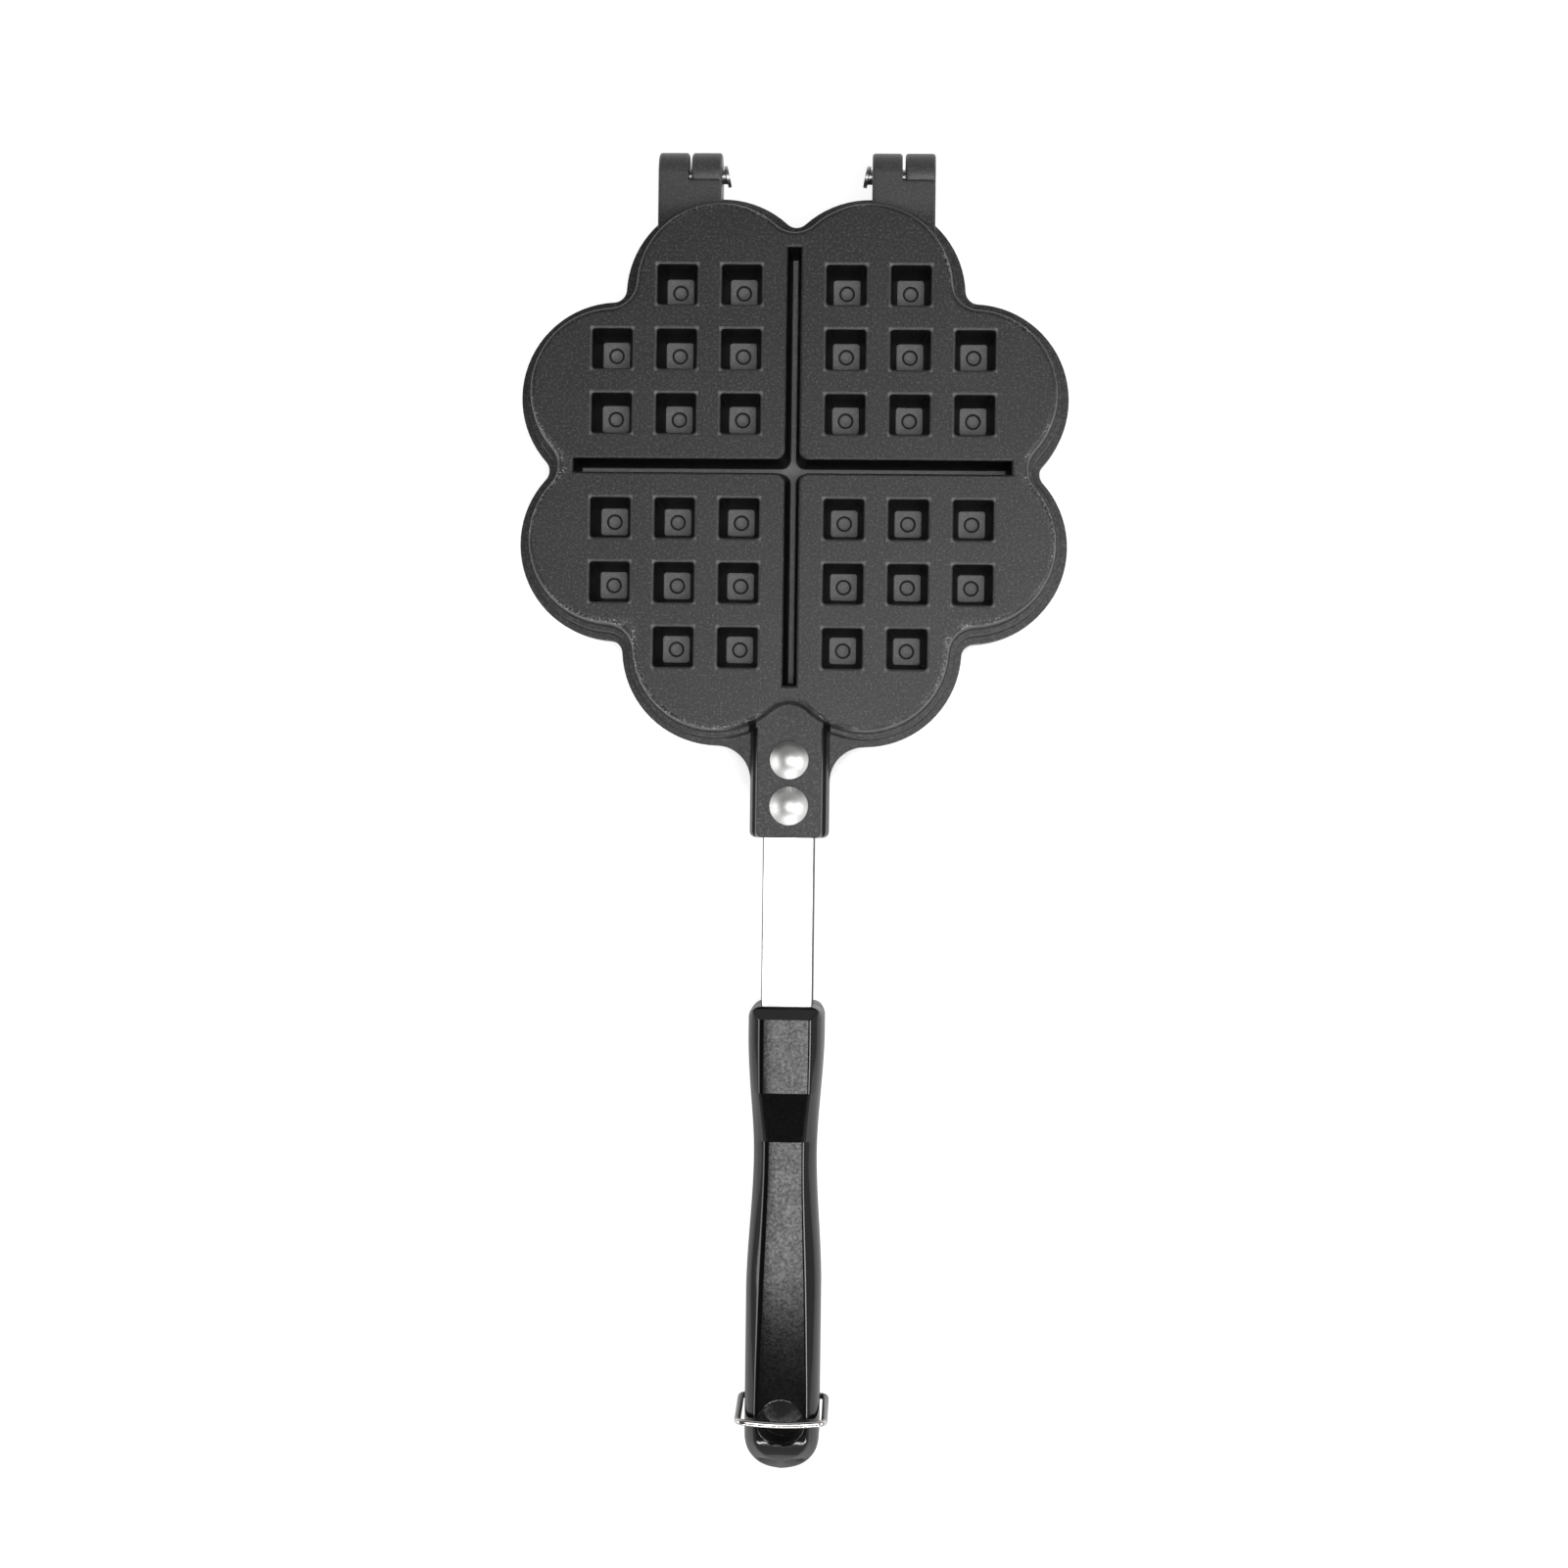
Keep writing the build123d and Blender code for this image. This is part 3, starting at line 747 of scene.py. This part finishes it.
def latch_points():
    """The wire's centre line: straight runs, round bends and the bowed bar."""
    bar = []
    for k in range(bar_steps + 1):
        t = 2 * k / bar_steps - 1
        bar.append(Vector((t * (latch_half - latch_bend), bar_y - bar_bow * (1 - t * t), bar_z)))
    wire_tip = Vector((-wire_end, pivot_y, pivot_z))
    low_bend = Vector((-latch_half, pivot_y, pivot_z))
    high_bend = Vector((-latch_half, bar_y, bar_z))
    points = [wire_tip]
    for before, here, after in ((wire_tip, low_bend, high_bend), (low_bend, high_bend, bar[0])):
        start = here + (before - here).normalized() * latch_bend
        end = here + (after - here).normalized() * latch_bend
        for k in range(bend_steps + 1):
            t = k / bend_steps
            points.append(start * (1 - t) ** 2 + here * 2 * t * (1 - t) + end * t * t)
    left = points + bar[1:bar_steps // 2 + 1]
    right = [Vector((-p.x, p.y, p.z)) for p in reversed(left[:-1])]
    return left + right


latch_steel = steel(
    "latch_wire",
    (0.6, 0.58, 0.57),
    roughness=0.16,
    stretch=(0.1, 1, 1),
    brush_mm=0.4,
    depth_mm=0.001,
    edge_mm=0.05,
)
line = bpy.data.curves.new("wire_latch_bent", "CURVE")
line.dimensions = "3D"
line.bevel_depth = wire_radius
line.bevel_resolution = 6
line.use_fill_caps = True
run = line.splines.new("POLY")
centre_line = latch_points()
run.points.add(len(centre_line) - 1)
for point, spot in zip(run.points, centre_line):
    point.co = (*spot, 1)
bent = bpy.data.objects.new("bent", line)
bpy.context.scene.collection.objects.link(bent)
evaluated = bent.evaluated_get(bpy.context.evaluated_depsgraph_get())
latch_mesh = bpy.data.meshes.new_from_object(evaluated)
bpy.data.objects.remove(bent)
latch_mesh.transform(in_frame(False))
latch = finish_mesh("wire_latch_bent", latch_mesh, latch_steel, sharp_degrees=50)
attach(latch, "latch")
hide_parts("wire_latch")


# Floor, backdrop and light
# A plain white table, lit by one large soft light above and three strips, at the left, the right
# and in front. The camera looks straight down, as in the photograph.

table_paint = (0.3, 0.3, 0.3, 1)
table_paint_in_shade = (0.03, 0.03, 0.03, 1)
table_reach, table_drop = 6.0, 0.0002
focal_pixels, picture_pixels = 2570.7, 1601

# In the frame's millimetres, and in degrees about Z, X and Y
camera_place = (22.3, 2.35, 688.2)
camera_roll, camera_nod, camera_lean = 0.698, 0.377, 2.036


def seen_as(place):
    """Two masks: the rays that the camera sends, and those that mirrors and glass send on."""
    path = place.add("ShaderNodeLightPath")
    rays = ("Is Camera Ray", "Is Glossy Ray", "Is Transmission Ray")
    camera, glossy, through = [path.output(ray) for ray in rays]
    return camera, path.math("ADD", glossy, through, clamp=True)


def pale(name, strength):
    """White, with painted shadow close under the object, and painted shade beside the handle in what
    mirrors show.
    """
    material, place = start_finish(name)
    camera, mirrored = seen_as(place)
    parts = place.add("ShaderNodeSeparateXYZ", None, {"Vector": place})
    x, y = [parts.output(i) / MM for i in range(2)]
    handle_start = plate_middle.y / MM - handle_front
    handle_end = handle_start - handle_length
    # Painted shade in what mirrors show of the table beside the handle
    beside = x.absolute().step(60.0, 9.0) * y.step(-20.0, -60.0)
    beside = beside * y.step(handle_end - 60.0, handle_end)
    open_sky = place.add("ShaderNodeAmbientOcclusion", {"samples": 16}, {"Distance": 0.045}, output=1)
    under_hole = y - (handle_start - hole_place) + 4.0
    # A patch of painted shadow on the table under the hanging hole
    closed = (x * x + under_hole * under_hole).root().step(10.0, 5.5)
    # Painted shadow where the object covers the table
    shade = (open_sky - closed * 0.3).step(0.4, 0.25) * (0.93 + closed * 0.07)
    white = (camera + mirrored * (1.0 - beside * 0.9)) * (1.0 - shade)
    glow = place.add("ShaderNodeEmission", None, {"Strength": white * strength})
    paint = colour_of(place, table_paint).mix(shade, table_paint_in_shade)
    matt = place.add("ShaderNodeBsdfDiffuse", None, {"Color": paint})
    both = place.add("ShaderNodeAddShader", None, {0: glow, 1: matt})
    place.add("ShaderNodeOutputMaterial", None, {"Surface": both})
    return material


floor_mesh = bpy.data.meshes.new("table_top")
table_corners = [(a * table_reach, b * table_reach, 0) for a, b in ((-1, -1), (1, -1), (1, 1), (-1, 1))]
floor_mesh.from_pydata(table_corners, [], [(0, 1, 2, 3)])
floor_mesh.materials.append(pale("white_table", strength=0.88))
floor = bpy.data.objects.new("table_top", floor_mesh)
floor.location.z = -table_drop
bpy.context.scene.collection.objects.link(floor)

world = bpy.data.worlds.new("white_room")
bpy.context.scene.world = world
world.use_nodes = True
world.node_tree.nodes.clear()
view = Wire(world.node_tree, None).add("ShaderNodeTexCoord", output="Generated")
camera_ray, mirror_ray = seen_as(view)
heights = view.add("ShaderNodeSeparateXYZ", None, {"Vector": view}, output=2)
walls = heights.step(0.75, 0.3)
white = camera_ray + mirror_ray * (0.05 + walls * 0.5)
dim = (1.0 - camera_ray - mirror_ray) * 0.2
room = view.add("ShaderNodeBackground", None, {"Color": (1, 1, 1, 1), "Strength": white + dim})
view.add("ShaderNodeOutputWorld", None, {"Surface": room})


def soft_light(name, place, target, size, watts):
    """A lamp with an even, rectangular face that is turned to its target."""
    lamp = bpy.data.lights.new(name, "AREA")
    lamp.shape = "RECTANGLE"
    lamp.size, lamp.size_y = size
    lamp.energy = watts
    holder = bpy.data.objects.new(name, lamp)
    holder.location = place
    away = Vector(place) - Vector(target)
    holder.rotation_euler = away.to_track_quat("Z", "Y").to_euler()
    bpy.context.scene.collection.objects.link(holder)


soft_light("overhead", (0.17, -0.105, 1.25), (0.17, -0.105, 0), size=(0.6, 0.53), watts=7)
soft_light("right_strip", (0.75, -0.22, 0.7), (0, -0.22, 0), size=(0.7, 0.22), watts=4.5)
soft_light("left_strip", (-0.85, -0.2, 0.35), (0, -0.2, 0), size=(0.7, 0.24), watts=2.0)
soft_light("front_strip", (0.1, -1.1, 0.5), (0, 0, 0), size=(0.9, 0.06), watts=5.0)

lens = bpy.data.cameras.new("straight_down")
lens.sensor_width = 36.0
lens.lens = lens.sensor_width * focal_pixels / picture_pixels
camera = bpy.data.objects.new("straight_down", lens)
bpy.context.scene.collection.objects.link(camera)
turn = Matrix.Identity(4)
for degrees, axis in ((camera_roll, "Z"), (camera_nod, "X"), (camera_lean, "Y")):
    turn = turn @ Matrix.Rotation(radians(degrees), 4, axis)
camera.matrix_world = Matrix.Translation(Vector(camera_place) * MM) @ turn
bpy.context.scene.camera = camera
bpy.context.scene.view_settings.view_transform = "Standard"
